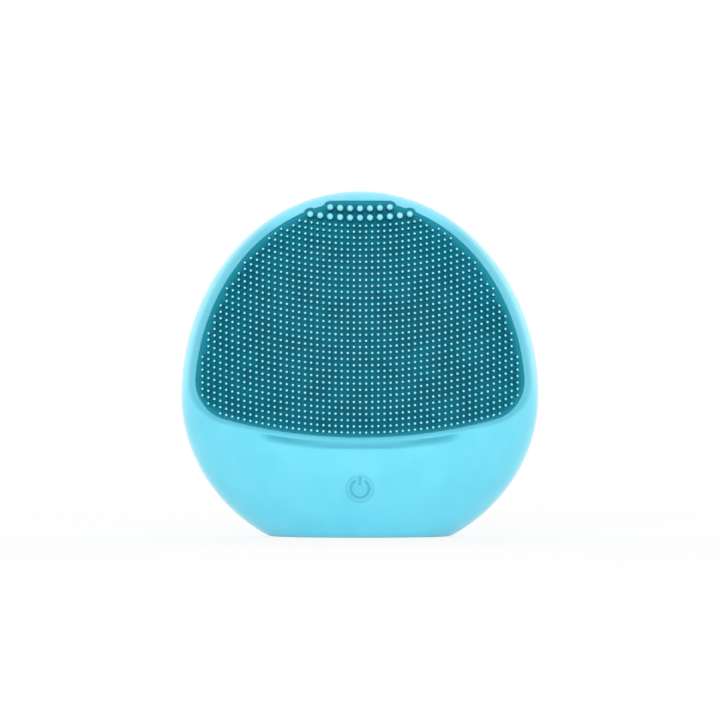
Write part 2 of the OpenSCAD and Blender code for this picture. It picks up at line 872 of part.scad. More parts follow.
module eccentric_weight() {
    color("dimgray") difference() {
        union() {
            translate([0, 0, weight_z]) cylinder(h = weight_t, r = weight_hub_r);
            intersection() {
                translate([0, 0, weight_z]) cylinder(h = weight_t, r = weight_r);
                rear_of(0);
            }
        }
        translate([0, 0, weight_z - past]) cylinder(h = weight_t + 2 * past, r = shaft_r);
    }
}

module motor_boot() {
    color("dimgray") tube(boot_z, boot_h, boot_r, motor_r + fit_gap);
}

// A ring round the boot with two ears that are screwed to the rear housing
module motor_bracket() {
    color("white") difference() {
        union() {
            translate([0, 0, bracket_z]) cylinder(h = bracket_h, r = bracket_r + bracket_t);
            translate([-ear_end_x, 0, bracket_z]) cube([2 * ear_end_x, ear_t, bracket_h]);
        }
        translate([0, 0, bracket_z - past]) cylinder(h = bracket_h + 2 * past, r = bracket_r);
        for (side = [-1, 1])
            bar([side * bracket_screw_x, bracket_screw_z], -body_d, body_d, small_screw_r + screw_gap);
    }
}

module bracket_screws() {
    color("silver") for (side = [-1, 1])
        screw([side * bracket_screw_x, bracket_screw_z], 0, -1,
            small_screw_r, small_screw_l, small_head_r, small_head_h);
}

silicone_sleeve();
bristle_pad();
fine_bristles_upper();
fine_bristles_lower();
thick_bristles();
power_button();
front_housing();
rear_housing();
housing_gasket();
housing_screws();
circuit_board();
board_screws();
controller_chip();
board_components();
tact_switch();
switch_plunger();
status_led();
light_pipe();
charge_socket();
socket_contact();
port_seal();
battery_cell();
battery_foam();
battery_wires();
motor_can();
motor_end_cap();
motor_magnet();
motor_bearings();
motor_shaft();
rotor_core();
eccentric_weight();
motor_boot();
motor_bracket();
bracket_screws();
motor_wires();
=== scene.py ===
import math

import bpy
import numpy as np
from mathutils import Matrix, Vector


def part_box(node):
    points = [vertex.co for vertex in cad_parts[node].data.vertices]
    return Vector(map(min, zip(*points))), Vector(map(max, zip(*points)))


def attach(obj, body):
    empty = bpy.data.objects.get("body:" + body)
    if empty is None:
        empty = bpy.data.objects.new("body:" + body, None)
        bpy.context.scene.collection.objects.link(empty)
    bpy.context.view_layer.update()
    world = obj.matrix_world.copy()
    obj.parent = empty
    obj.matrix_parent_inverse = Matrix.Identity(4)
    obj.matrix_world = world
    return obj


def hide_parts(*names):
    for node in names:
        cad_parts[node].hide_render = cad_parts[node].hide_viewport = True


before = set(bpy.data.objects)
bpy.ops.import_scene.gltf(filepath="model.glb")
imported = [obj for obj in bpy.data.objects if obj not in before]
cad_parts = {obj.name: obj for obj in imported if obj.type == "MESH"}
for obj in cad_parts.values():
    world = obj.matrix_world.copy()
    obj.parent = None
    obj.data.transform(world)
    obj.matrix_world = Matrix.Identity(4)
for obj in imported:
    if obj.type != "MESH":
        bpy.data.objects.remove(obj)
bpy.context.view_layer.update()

# Sizes are in millimetres unless a comment says otherwise; meshes are scaled to metres as they are made.
MM = 0.001

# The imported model's own sizes
sleeve_high = np.array(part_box("silicone_sleeve")[1]) / MM
button_low, button_high = (np.array(corner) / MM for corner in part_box("power_button"))

# Egg-shaped body: two half ellipsoids that meet at the widest height
HALF_W = 40.0
HALF_D = 15.0
WIDEST_Z = 31.7
CROWN_H = float(sleeve_high[2]) - WIDEST_Z
KEEL_H = 36.75
SLEEVE_T = 2.0
BASE_EDGE_R = 0.35

# Bristle panel
PANEL_RIM = 3.4
PANEL_TOP_RIM = 2.4
PANEL_LOW_Z = 22.5
PANEL_LOW_R = 118.0
PANEL_CORNER_R = 9.0
PANEL_SINK = 0.3
PANEL_HALF_W = HALF_W - PANEL_RIM
PANEL_TOP_Z = WIDEST_Z + CROWN_H - PANEL_TOP_RIM
PANEL_LOW_CENTRE_Z = PANEL_LOW_Z + PANEL_LOW_R
CORNER_X = PANEL_HALF_W - PANEL_CORNER_R
CORNER_Z = PANEL_LOW_CENTRE_Z - math.sqrt((PANEL_LOW_R - PANEL_CORNER_R) ** 2 - CORNER_X ** 2)
ARCH_H = PANEL_TOP_Z - WIDEST_Z
ARCH_HALF_W = PANEL_HALF_W / math.sqrt(1 - ((CORNER_Z - WIDEST_Z) / ARCH_H) ** 2)
PANEL_GAP = 0.015
LIP_R = 0.28

# Step under the panel
STEP_Z = 20.1
STEP_DEPTH = 1.1
STEP_LEAN = math.radians(50)
STEP_ARCH_R = 115.0
FACE_R = 200.0
STEP_SOFT = 0.3
FACE_BLEND = 0.45
FACE_BLEND_H = 3.0

# Painted shade on the skin beside the panel: heights where it widens and where it ends, and over how much; the
# width of even shade and the width of its fade, each with what it gains on the way up
LIP_PAINTED_SHADE = 0.6
LIP_LOW_Z = 24.0
LIP_WIDEN_H = 6.0
LIP_HIGH_Z = 71.5
LIP_END_H = 4.0
LIP_EVEN_W = (0.3, 0.75)
LIP_FADE_W = (0.9, 0.3)

# Painted shade along the step: its foot at the middle with the factors of the square and the fourth power of
# x, how far its upper edge lies below the panel, its half width and the width of its tips
CREASE_FOOT_Z = 19.93
CREASE_FOOT_BOW = (0.00067, 7.6e-6)
CREASE_BROW = 1.14
CREASE_HALF_W = 22.6
CREASE_TIP_W = 2.6
# Where the middle's shading passes into the sides', and over how much
CREASE_TURN_X = 6.0
CREASE_TURN_W = 7.0
# Shade at the foot and its change up to the brow, in the middle and at the sides; how fast the sides change,
# and a deeper spot on each side: its place, its width and its gain
CREASE_MIDDLE = (0.76, -0.5)
CREASE_BESIDE = (0.22, 0.55)
CREASE_CLIMB = 1.6
CREASE_SPOT_X = 16.8
CREASE_SPOT_W = 3.0
CREASE_SPOT_GAIN = 0.3
# Softness of the foot and what the sides add to it; softness of the brow, how much it cuts the shade off in
# the middle, and what the sides add to that
CREASE_FOOT_SOFT = (0.3, 0.4)
CREASE_BROW_SOFT = 0.3
CREASE_BROW_CUT = (0.2, 0.8)

# Bristles, in rows that curve about one centre above the body; tip as a share of the foot's radius
ROW_CENTRE_Z = PANEL_TOP_Z + 65.8
FINE_TOP_Z = PANEL_TOP_Z - 5.7
FINE_PITCH = 1.345
FINE_D = 0.72
FINE_H = 1.4
FINE_TIP = 0.82
FINE_DOME = 0.24
FINE_MARGIN = 0.9
FINE_ROWS = 39
THICK_TOP_Z = PANEL_TOP_Z - 1.8
THICK_COUNT = 7
THICK_STEP = 4
THICK_ROWS = 2
THICK_PITCH = 2.21
THICK_ROW_PITCH = 2.1
THICK_D = 1.6
THICK_H = 2.0
THICK_TIP = 0.9
THICK_DOME = 0.55
THICK_MARGIN = 0.7

# A bristle's side, with its share of the foot's radius: its root below the panel and its foot by height, and
# its waist by share of the height
PEG_ROOT = (-0.4, 1.08)
PEG_FOOT = (0.12, 1.04)
PEG_WAIST = (0.35, 0.97)

# Painted light that lightens a bristle towards its tip: the share of the height at which it starts, and how
# strong it is at the tip
FINE_PAINTED_LIGHT = (0.74, 1.0)
THICK_PAINTED_LIGHT = (0.45, 0.78)

# Scatter of the bristles' painted highlight: each takes the fraction of a sine of its number, times a large
# factor
SCATTER_STEP = 12.9898
SCATTER_FACTOR = 43758.5453

# Massage ridges on the rear
RIDGE_COUNT = 8
RIDGE_PITCH = 4.2
RIDGE_W = 1.8
RIDGE_H = 0.7
RIDGE_Z = 44.0
RIDGE_FIELD = (26.0, 18.0)
RIDGE_ROOT = 0.3
RIDGE_END = 0.35
RIDGE_CROWN = 3.2

# Power button and charging port
BUTTON_Z = float(button_low[2] + button_high[2]) / 2
BUTTON_R = float(button_high[0])
BUTTON_GAP = 0.015
PORT_Z = 9.0
PORT_HOLE_R = 3.0

BUTTON_EDGE_R = 0.1
BUTTON_T = 1.5
STEM_R = 2.0
PAD_EDGE_R = 0.12
BORDER_FADE = 2.2

# Meshes of the pieces: points round and along them
SLEEVE_COLUMNS = 480
LIP_ROWS = 8
PAD_COLUMNS = 480
PAD_EDGE_ROWS = 6
BUTTON_COLUMNS = 160
BUTTON_ROWS = 84
BUTTON_EDGE_ROWS = 7
FINE_SIDES = 8
FINE_RINGS = 3
THICK_SIDES = 28
THICK_RINGS = 7
RIDGE_ROWS = 121
RIDGE_COLUMNS = 17
RIDGE_FEET = (4, 12)
HOLE_SIDES = 96
HOLE_SHARP = math.radians(40)
BUTTON_SHARP = math.radians(50)
POLE = 0.01

# Rows of points whose spacing changes: how many, then even steps and the shares of the surface where they fall
INNER_ROWS = (14, (0, 1), (0.02, 1))
FRONT_ROWS = (88, (0, 0.3, 0.85, 1), (0.004, 0.2, 0.92, 1))
BASE_ROWS = (16, (0, 1), (0.05, 0.95))
BACK_ROWS = (58, (0, 0.15, 1), (0, 0.06, 0.99))
PAD_FACE_ROWS = (44, (0, 0.75, 1), (POLE, 0.93, 1))
PAD_BACK_ROWS = (10, (0, 1), (1, POLE))

# Limits of the sleeve's polar angles: the largest sine, the smallest divisor and the base's least half angle
SINE_MAX = 0.9995
TINY = 1e-6
BASE_TURN_MIN = 0.03

# Directions round the panel: steps of the table that they are read from, how much closer they lie round the
# tabs and out to where, and the pace that is added for each radian
TABLE_STEPS = 6001
TAB_DENSITY = 1.6
TAB_HALF_W = 14.0
RADIAN_PACE = 12.0
HALVINGS = 30

# Ridges: the table of angles in which the end of each rib is looked up
RIDGE_TABLE = (0, 0.5, 4001)

# Power symbol on the button
SYMBOL_R = 2.0
SYMBOL_LINE = 0.56
SYMBOL_OPEN = math.radians(36)
SYMBOL_BAR = (1.05, 2.5)
SYMBOL_SOFT = 0.12
SYMBOL_DEPTH = 0.1
# Painted shade on the button's face, which fades out over its rounded edge
CAP_PAINTED_SHADE = 0.3

# Studio: half the floor's side in millimetres, its fade in metres, its specks per metre; the lights in metres
# and watts, the camera's place in metres and its lens in millimetres
FLOOR = 4000.0
FLOOR_GLOW = 0.8
FLOOR_SPECKS = 30.0
FLOOR_FADE = (0.45, 0.9)
FLOOR_BOUNCE = (0.88, 0.88, 0.88, 1)
FLOOR_LOW = (0.88, 0.88, 0.88, 1)
FLOOR_HIGH = (0.92, 0.92, 0.92, 1)
WHITE = (1, 1, 1, 1)
WORLD_LIGHT = 0.64
CENTRE = (0, 0, 0.04)
LIGHTS = [
    ("Key", (-0.3, -1.15, 0.55), CENTRE, (0.9, 0.9), 5.9),
    ("Fill", (0.6, -1.1, 0.15), CENTRE, (0.8, 0.8), 4.5),
    ("Left_rim", (-0.85, 0.55, 0.25), CENTRE, (0.5, 0.8), 3.3),
    ("Right_rim", (0.85, 0.55, 0.25), CENTRE, (0.5, 0.8), 3.3),
    ("Top", (0, 0.5, 1.0), CENTRE, (0.8, 0.8), 2.2),
]
CAMERA_Z = 0.03955
CAMERA_AWAY = 0.8964
LENS = 200
SENSOR = 36
VIEW_END = 20

# ---------------------------------------------------------------- shape of the body

def skin_depth(x, z, inset=0.0):
    """Half depth of the egg at x and z: an ellipsoid's, with its three half axes cut by inset."""
    across = x / (HALF_W - inset)
    up = (z - WIDEST_Z) / (np.where(z > WIDEST_Z, CROWN_H, KEEL_H) - inset)
    return (HALF_D - inset) * np.sqrt(np.clip(1 - across ** 2 - up ** 2, 0, None))


def soft_min(a, b, k):
    """The smaller of two fields, with the corner between them rounded over a width k."""
    return (a + b - np.sqrt((a - b) ** 2 + k * k)) / 2


def soft_max(a, b, k):
    """The larger of two fields, with the corner between them rounded over a width k."""
    return (a + b + np.sqrt((a - b) ** 2 + k * k)) / 2


def smooth(share):
    """A share from 0 to 1 with level ends: three squares less two cubes of it."""
    return share * share * (3 - 2 * share)


def step_faces(x, z):
    """Depths of the step's slope, which is arched across, and of the face below it, which curves across."""
    face_y = float(skin_depth(np.zeros(1), np.full(1, STEP_Z))[0]) - STEP_DEPTH
    arch = (STEP_ARCH_R - np.sqrt(np.clip(STEP_ARCH_R ** 2 - x ** 2, 0, None))) / math.cos(STEP_LEAN)
    face = face_y - x ** 2 / (2 * FACE_R)
    return face_y + (z - STEP_Z - arch) / math.tan(STEP_LEAN), face


def stepped_depth(x, z):
    """Depth of the front skin with the step: below the arched slope it drops to the face."""
    slope, face = step_faces(x, z)
    skin = skin_depth(x, z)
    below = smooth(np.clip((STEP_Z - z) / FACE_BLEND_H, 0, 1))
    soft = STEP_SOFT / 2 + (FACE_BLEND - STEP_SOFT / 2) * below
    return np.where(z < WIDEST_Z, soft_min(skin, soft_max(face, slope, STEP_SOFT), soft), skin)


def thick_places():
    """Rows of thick bristles on arcs about the rows' centre, each as an array of x and z."""
    rows = []
    for row in range(THICK_ROWS):
        count = THICK_COUNT + row * THICK_STEP
        x = (np.arange(count) - (count - 1) / 2) * THICK_PITCH
        radius = ROW_CENTRE_Z - THICK_TOP_Z + row * THICK_ROW_PITCH
        rows.append((x, ROW_CENTRE_Z - np.sqrt(radius ** 2 - x ** 2)))
    return rows


def panel_field(x, z):
    """How far x and z lie outside the panel, negative inside: an ellipse over a wide arc, rounded corners
    and tabs round the thick bristles, as the least of their own distances."""
    crown = (np.hypot(x / ARCH_HALF_W, (z - WIDEST_Z) / ARCH_H) - 1) * ARCH_HALF_W
    low = np.hypot(x, z - PANEL_LOW_CENTRE_Z) - PANEL_LOW_R
    corner = np.hypot(np.abs(x) - CORNER_X, z - CORNER_Z) - PANEL_CORNER_R
    beside = np.abs(x) * (PANEL_LOW_CENTRE_Z - CORNER_Z) > CORNER_X * (PANEL_LOW_CENTRE_Z - z)
    field = np.where(z > CORNER_Z, crown, np.where(beside, corner, low))
    tab_r = THICK_D / 2 + THICK_MARGIN
    for row_x, row_z in thick_places():
        end = np.hypot(np.abs(x) - row_x[-1], z - row_z[-1]) - tab_r
        field = np.minimum(field, end)
    first_x, first_z = thick_places()[0]
    bar_across = np.clip(np.abs(x) - first_x[-1], 0, None)
    bar = np.hypot(bar_across, z - first_z[-1]) - tab_r
    return np.minimum(field, bar)


def panel_reach(turn, inset):
    """For each direction about the widest point, the share of the egg's outline at which the panel ends,
    by halving an interval again and again."""
    near = np.zeros_like(turn)
    far = np.ones_like(turn)
    for _ in range(HALVINGS):
        middle = (near + far) / 2
        x, z = outline_point(turn, middle)
        inside = panel_field(x, z) < -inset
        near = np.where(inside, middle, near)
        far = np.where(inside, far, middle)
    return (near + far) / 2


def outline_radius(turn, inset=0.0):
    """Half axes of the egg's outline times a direction's cosine and sine: the width across, and the crown
    above or the keel below."""
    half_h = np.where(np.sin(turn) > 0, CROWN_H, KEEL_H) - inset
    return (HALF_W - inset) * np.cos(turn), half_h * np.sin(turn)


def outline_point(turn, share, inset=0.0):
    """A point at a share of the way from the widest point to the outline, as x and z."""
    across, up = outline_radius(turn, inset)
    return share * across, WIDEST_Z + share * up


def panel_turns(count):
    """Directions round the panel, spaced evenly along its edge, and closer together round the tabs at its
    top: the sum of the paces along the edge is read backwards at even steps."""
    table = np.linspace(0, 2 * math.pi, TABLE_STEPS)
    x, z = outline_point(table, panel_reach(table, 0.0))
    tabs = 1 + TAB_DENSITY * np.exp(-((x[1:] / TAB_HALF_W) ** 6)) * (z[1:] > WIDEST_Z)
    paces = np.hypot(np.diff(x), np.diff(z)) * tabs + RADIAN_PACE * np.diff(table)
    total = np.concatenate([[0], np.cumsum(paces)])
    return np.interp(np.arange(count) / count, total / total[-1], table)


# ---------------------------------------------------------------- meshes

def grid_faces(rows, columns):
    """Quads of a grid of points whose rows close into rings, as four corners each."""
    row, column = np.meshgrid(np.arange(rows - 1), np.arange(columns), indexing="ij")
    here, above = row * columns, (row + 1) * columns
    after = (column + 1) % columns
    return np.stack([here + column, here + after, above + after, above + column], -1).reshape(-1, 4)


def mesh_piece(name, points, faces, materials):
    """A smooth mesh object at the origin from points in millimetres and faces as lists of corners."""
    mesh = bpy.data.meshes.new(name)
    mesh.from_pydata((np.asarray(points) * MM).tolist(), [], [list(f) for f in faces])
    mesh.polygons.foreach_set("use_smooth", np.full(len(mesh.polygons), True))
    for material in materials:
        mesh.materials.append(material)
    mesh.update()
    piece = bpy.data.objects.new(name, mesh)
    bpy.context.scene.collection.objects.link(piece)
    return piece


def closed_rows(points):
    """Points and faces of a closed skin from rows of rings, with a pole in the middle of the first and of
    the last ring."""
    rows, columns, _ = points.shape
    flat = points.reshape(-1, 3)
    first, last = points[0].mean(0), points[-1].mean(0)
    faces = grid_faces(rows, columns).tolist()
    ring = np.arange(columns)
    after = (ring + 1) % columns
    start, end = len(flat), len(flat) + 1
    tail = (rows - 1) * columns
    faces += [[start, int(b), int(a)] for a, b in zip(ring, after)]
    faces += [[end, int(tail + a), int(tail + b)] for a, b in zip(ring, after)]
    return np.vstack([flat, first[None], last[None]]), faces


def copies(template, faces, places, depth):
    """One template of points and faces set at many places: each copy shifts to its x and z and stands on
    its depth."""
    x, z = places
    shift = np.stack([x, -depth, z], -1)
    points = (shift[:, None, :] + template[None]).reshape(-1, 3)
    step = len(template)
    offsets = np.arange(len(x)) * step
    return points, [[int(corner + offset) for corner in face] for offset in offsets for face in faces]


def face_out(piece):
    """Turns every face of a closed piece outwards."""
    mesh = piece.data
    bpy.context.view_layer.objects.active = piece
    piece.select_set(True)
    bpy.ops.object.mode_set(mode="EDIT")
    bpy.ops.mesh.select_all(action="SELECT")
    bpy.ops.mesh.normals_make_consistent(inside=False)
    bpy.ops.object.mode_set(mode="OBJECT")
    piece.select_set(False)
    mesh.update()
    return piece


# ---------------------------------------------------------------- sleeve and panel

def spaced(count, knots, places):
    """A column of shares, read from a table at even steps: knots are the steps, places their shares."""
    return np.interp(np.linspace(0, 1, count), knots, places)[:, None]


def skin_rows(turn, first, last, shares, inset=0.0):
    """Rows of points on the egg between two polar angles: width and height go with the sine of the angle,
    depth with its cosine."""
    polar = first + (last - first) * shares
    across, up = outline_radius(turn, inset)
    x = np.sin(polar) * across
    z = WIDEST_Z + np.sin(polar) * up
    return x, z, -(HALF_D - inset) * np.cos(polar)


def make_sleeve():
    """The sleeve as one closed wall: its inner skin, the rounded lip round the panel, the outer skin with
    the step, the flat base and the back, as rings of points about the widest point."""
    turn = panel_turns(SLEEVE_COLUMNS)
    reach = panel_reach(turn, 0.0)
    across, up = outline_radius(turn)
    length = np.hypot(across, up)

    # Inner skin, from the back to the panel
    inner_across, inner_up = outline_radius(turn, SLEEVE_T)
    inner_edge = np.arcsin(np.clip(reach * length / np.hypot(inner_across, inner_up), 0, SINE_MAX))
    x, z, y = skin_rows(turn, math.pi, inner_edge, spaced(*INNER_ROWS), SLEEVE_T)
    inner = np.stack([x, y, np.maximum(z, SLEEVE_T)], -1)

    # Lip: a quarter of a circle from the wall of the window to the skin
    bend = np.linspace(0, math.pi / 2, LIP_ROWS)[:, None]
    lip_x, lip_z = outline_point(turn, reach + LIP_R * (1 - np.cos(bend)) / length)
    lip_y = -(stepped_depth(lip_x, lip_z) - LIP_R * (1 - np.sin(bend)))
    lip = np.stack([lip_x, lip_y, lip_z], -1)

    # Outer skin: front, base and back meet at the edges of the flat base
    edge = np.arccos(np.clip(WIDEST_Z / (KEEL_H * np.maximum(-np.sin(turn), TINY)), 0, 1))
    edge = np.hypot(edge, BASE_TURN_MIN)
    start = np.arcsin(reach + LIP_R / length)
    x, z, _ = skin_rows(turn, start, math.pi / 2 - edge, spaced(*FRONT_ROWS))
    front = (x, z, -stepped_depth(x, z))
    base = skin_rows(turn, math.pi / 2 - edge, math.pi / 2 + edge, spaced(*BASE_ROWS))
    back = skin_rows(turn, math.pi / 2 + edge, math.pi, spaced(*BACK_ROWS))
    outer = np.concatenate([np.stack([x, y, z], -1) for x, z, y in (front, base, back)])
    outer[..., 2] = soft_max(outer[..., 2], 0.0, BASE_EDGE_R)
    points, faces = closed_rows(np.concatenate([inner, lip, outer]))
    points[-2] = (0, HALF_D - SLEEVE_T, WIDEST_Z)
    points[-1] = (0, HALF_D, WIDEST_Z)
    sleeve = face_out(mesh_piece("Sleeve", points, faces, [SILICONE_SKIN]))
    # Painted shade along the step and beside the panel, whichever is deeper at each point
    set_share(sleeve, "painted_shade", np.maximum(painted_shade(points), lip_painted_shade(points)))
    cut_holes(sleeve, [(BUTTON_Z, -1, BUTTON_R + BUTTON_GAP), (PORT_Z, 1, PORT_HOLE_R)])
    return sleeve


def lip_painted_shade(points):
    """How deep the painted shade lies on the front skin beside the panel, where it dips to the lip: a band of
    even depth that fades outwards, wider beside and above the panel than below it, and gone at the crown."""
    x, y, z = points.T
    high = np.clip((z - LIP_LOW_Z) / LIP_WIDEN_H, 0, 1)
    even_w = LIP_EVEN_W[0] + LIP_EVEN_W[1] * high
    fade_w = LIP_FADE_W[0] + LIP_FADE_W[1] * high
    fade = np.clip(1 - (panel_field(x, z) - even_w) / fade_w, 0, 1)
    below_crown = np.clip((LIP_HIGH_Z - z) / LIP_END_H, 0, 1)
    return LIP_PAINTED_SHADE * smooth(fade) * below_crown * (y < 0)


def painted_shade(points):
    """How deep the step's painted shade lies on the front skin: a crescent from an arc at the foot of the
    step, which goes with the square and the fourth power of x, to one at an even distance below the panel. In
    the middle it deepens down to the foot, to either side it deepens up to the other arc and has a deeper
    spot, and it fades out at its tips."""
    x, y, z = points.T
    across = np.abs(x)
    foot = CREASE_FOOT_Z + CREASE_FOOT_BOW[0] * x ** 2 + CREASE_FOOT_BOW[1] * x ** 4
    brow = PANEL_LOW_Z - CREASE_BROW + x ** 2 / (2 * PANEL_LOW_R)
    up = np.clip((z - foot) / (brow - foot), 0, 1)
    side = np.clip((across - CREASE_TURN_X) / CREASE_TURN_W, 0, 1)
    middle_shade = CREASE_MIDDLE[0] + CREASE_MIDDLE[1] * up
    side_shade = CREASE_BESIDE[0] + CREASE_BESIDE[1] * np.clip(CREASE_CLIMB * up, 0, 1)
    spot = CREASE_SPOT_GAIN * np.exp(-((across - CREASE_SPOT_X) / CREASE_SPOT_W) ** 2)
    side_shade = side_shade * (1 + spot * up)
    shade = middle_shade + side * (side_shade - middle_shade)
    over_foot = np.clip((z - foot) / (CREASE_FOOT_SOFT[0] + CREASE_FOOT_SOFT[1] * side) + 0.5, 0, 1)
    over_brow = np.clip((z - brow) / CREASE_BROW_SOFT + 0.5, 0, 1)
    over_brow = over_brow * (CREASE_BROW_CUT[0] + CREASE_BROW_CUT[1] * side)
    tips = np.clip((CREASE_HALF_W - across) / CREASE_TIP_W, 0, 1)
    return shade * over_foot * (1 - over_brow) * tips * (y < 0) * (z < WIDEST_Z)


def cut_holes(piece, holes):
    """Cuts round holes along Y, each given as its height, the side it opens to and its radius."""
    for height, side, radius in holes:
        bpy.ops.mesh.primitive_cylinder_add(
            vertices=HOLE_SIDES, radius=radius * MM, depth=2 * HALF_D * MM,
            location=(0, side * (HALF_D + 2) * MM, height * MM), rotation=(math.pi / 2, 0, 0))
        cutter = bpy.context.object
        cut = piece.modifiers.new("hole", "BOOLEAN")
        cut.solver = "EXACT"
        cut.object = cutter
        bpy.context.view_layer.objects.active = piece
        bpy.ops.object.modifier_apply(modifier=cut.name)
        bpy.data.objects.remove(cutter)
    piece.data.polygons.foreach_set("use_smooth", np.full(len(piece.data.polygons), True))
    piece.data.set_sharp_from_angle(angle=HOLE_SHARP)


def make_pad():
    """The panel that the bristles stand on: rings of points at shares of the way to its edge. It fills the
    sleeve's window with a gap, has a rounded edge and lies a little below the skin."""
    turn = panel_turns(PAD_COLUMNS)
    reach = panel_reach(turn, PANEL_GAP)
    length = np.hypot(*outline_radius(turn))
    shares = spaced(*PAD_FACE_ROWS) * (reach - PAD_EDGE_R / length)
    x, z = outline_point(turn, shares)
    face = np.stack([x, -skin_depth(x, z, PANEL_SINK), z], -1)
    bend = np.linspace(0, math.pi / 2, PAD_EDGE_ROWS)[1:, None]
    x, z = outline_point(turn, reach - PAD_EDGE_R * (1 - np.sin(bend)) / length)
    edge = np.stack([x, -skin_depth(x, z, PANEL_SINK) + PAD_EDGE_R * (1 - np.cos(bend)), z], -1)
    x, z = outline_point(turn, spaced(*PAD_BACK_ROWS) * reach)
    back = np.stack([x, -skin_depth(x, z, SLEEVE_T), z], -1)
    points, faces = closed_rows(np.concatenate([face, edge, back]))
    pad = face_out(mesh_piece("Bristle_panel", points, faces, [SILICONE_PANEL]))
    near_edge = np.clip(1 + panel_field(points[:, 0], points[:, 2]) / BORDER_FADE, 0, 1) ** 2
    set_share(pad, "border", near_edge)
    return pad


def set_share(piece, name, values):
    """A float for each point of a piece, for its material to read."""
    layer = piece.data.attributes.new(name, "FLOAT", "POINT")
    layer.data.foreach_set("value", np.asarray(values, dtype=np.float32))


# ---------------------------------------------------------------- bristles

def turned(profile, sides):
    """Points and faces of a peg that stands out to the front: a profile of heights and radii turned about
    its axis, closed by a flat foot and a point at its tip."""
    around = np.arange(sides) * 2 * math.pi / sides
    rows = [np.stack([radius * np.cos(around), np.full(sides, -height), radius * np.sin(around)], -1)
            for height, radius in profile[:-1]]
    points = np.vstack(rows + [np.array([[0, -profile[-1][0], 0]])])
    faces = grid_faces(len(rows), sides).tolist()
    tip = len(points) - 1
    last = (len(rows) - 1) * sides
    ring = range(sides)
    faces += [[last + i, last + (i + 1) % sides, tip] for i in ring]
    faces.append(list(reversed(ring)))
    return points, faces


def make_pegs(name, places, profile, sides, height, pale):
    """Bristles of one kind in one mesh. Each point keeps the share of painted light that lightens the tip: 0
    up to the first share of the height in pale, and from there evenly up to the second number at the tip. It
    also keeps the scatter of its bristle, which is the fraction of a sine."""
    x, z = places
    template, faces = turned(profile, sides)
    points, faces = copies(template, faces, places, skin_depth(x, z, PANEL_SINK))
    piece = face_out(mesh_piece(name, points, faces, [SILICONE_BRISTLE]))
    painted_tip_light = np.clip((-template[:, 1] / height - pale[0]) / (1 - pale[0]), 0, 1) * pale[1]
    each = np.modf(np.sin(np.arange(len(x)) * SCATTER_STEP) * SCATTER_FACTOR)[0]
    set_share(piece, "painted_tip_light", np.tile(painted_tip_light, len(x)))
    set_share(piece, "each", np.repeat(each, len(template)))
    return piece


def fine_places():
    """The fine bristles: one column on the centre line and the rest at an even pitch, in rows that curve
    about the rows' centre, wherever the panel has room."""
    beside_middle = int(PANEL_HALF_W / FINE_PITCH)
    column, row = np.meshgrid(np.arange(-beside_middle, beside_middle + 1), np.arange(FINE_ROWS))
    x = (column * FINE_PITCH).ravel()
    z = ROW_CENTRE_Z - np.sqrt((ROW_CENTRE_Z - FINE_TOP_Z + row.ravel() * FINE_PITCH) ** 2 - x ** 2)
    crown = np.hypot(x / (ARCH_HALF_W - FINE_MARGIN), (z - WIDEST_Z) / (ARCH_H - FINE_MARGIN)) < 1
    corner = np.hypot(np.abs(x) - CORNER_X, z - CORNER_Z) < PANEL_CORNER_R - FINE_MARGIN
    low = np.hypot(x, z - PANEL_LOW_CENTRE_Z) < PANEL_LOW_R - FINE_MARGIN
    beside = np.abs(x) * (PANEL_LOW_CENTRE_Z - CORNER_Z) > CORNER_X * (PANEL_LOW_CENTRE_Z - z)
    held = np.where(z > CORNER_Z, crown, np.where(beside, corner, low))
    return x[held], z[held]


def peg_profile(height, foot_r, tip, dome, rings):
    """A tapering peg whose dome is a part of an ellipse, as heights and radii: the height of a ring of the
    dome goes with the sine of an angle, and its radius with the cosine."""
    side = [(PEG_ROOT[0], foot_r * PEG_ROOT[1]), (PEG_FOOT[0], foot_r * PEG_FOOT[1]),
            (PEG_WAIST[0] * height, foot_r * PEG_WAIST[1])]
    bend = np.linspace(0, math.pi / 2, rings + 1)
    return side + [(height - dome + dome * math.sin(b), foot_r * tip * math.cos(b)) for b in bend]


# ---------------------------------------------------------------- button and ridges

def symbol_field(x, z):
    """Distance from the strokes of a power symbol: a ring open at the top, and an upright bar in the
    opening."""
    radius = np.hypot(x, z)
    angle = np.arctan2(x, z)
    ring = np.abs(radius - SYMBOL_R)
    end_x, end_z = SYMBOL_R * math.sin(SYMBOL_OPEN), SYMBOL_R * math.cos(SYMBOL_OPEN)
    ends = np.hypot(np.abs(x) - end_x, z - end_z)
    ring = np.where(np.abs(angle) < SYMBOL_OPEN, ends, ring)
    bar = np.hypot(x, z - np.clip(z, *SYMBOL_BAR))
    return np.minimum(ring, bar) - SYMBOL_LINE / 2


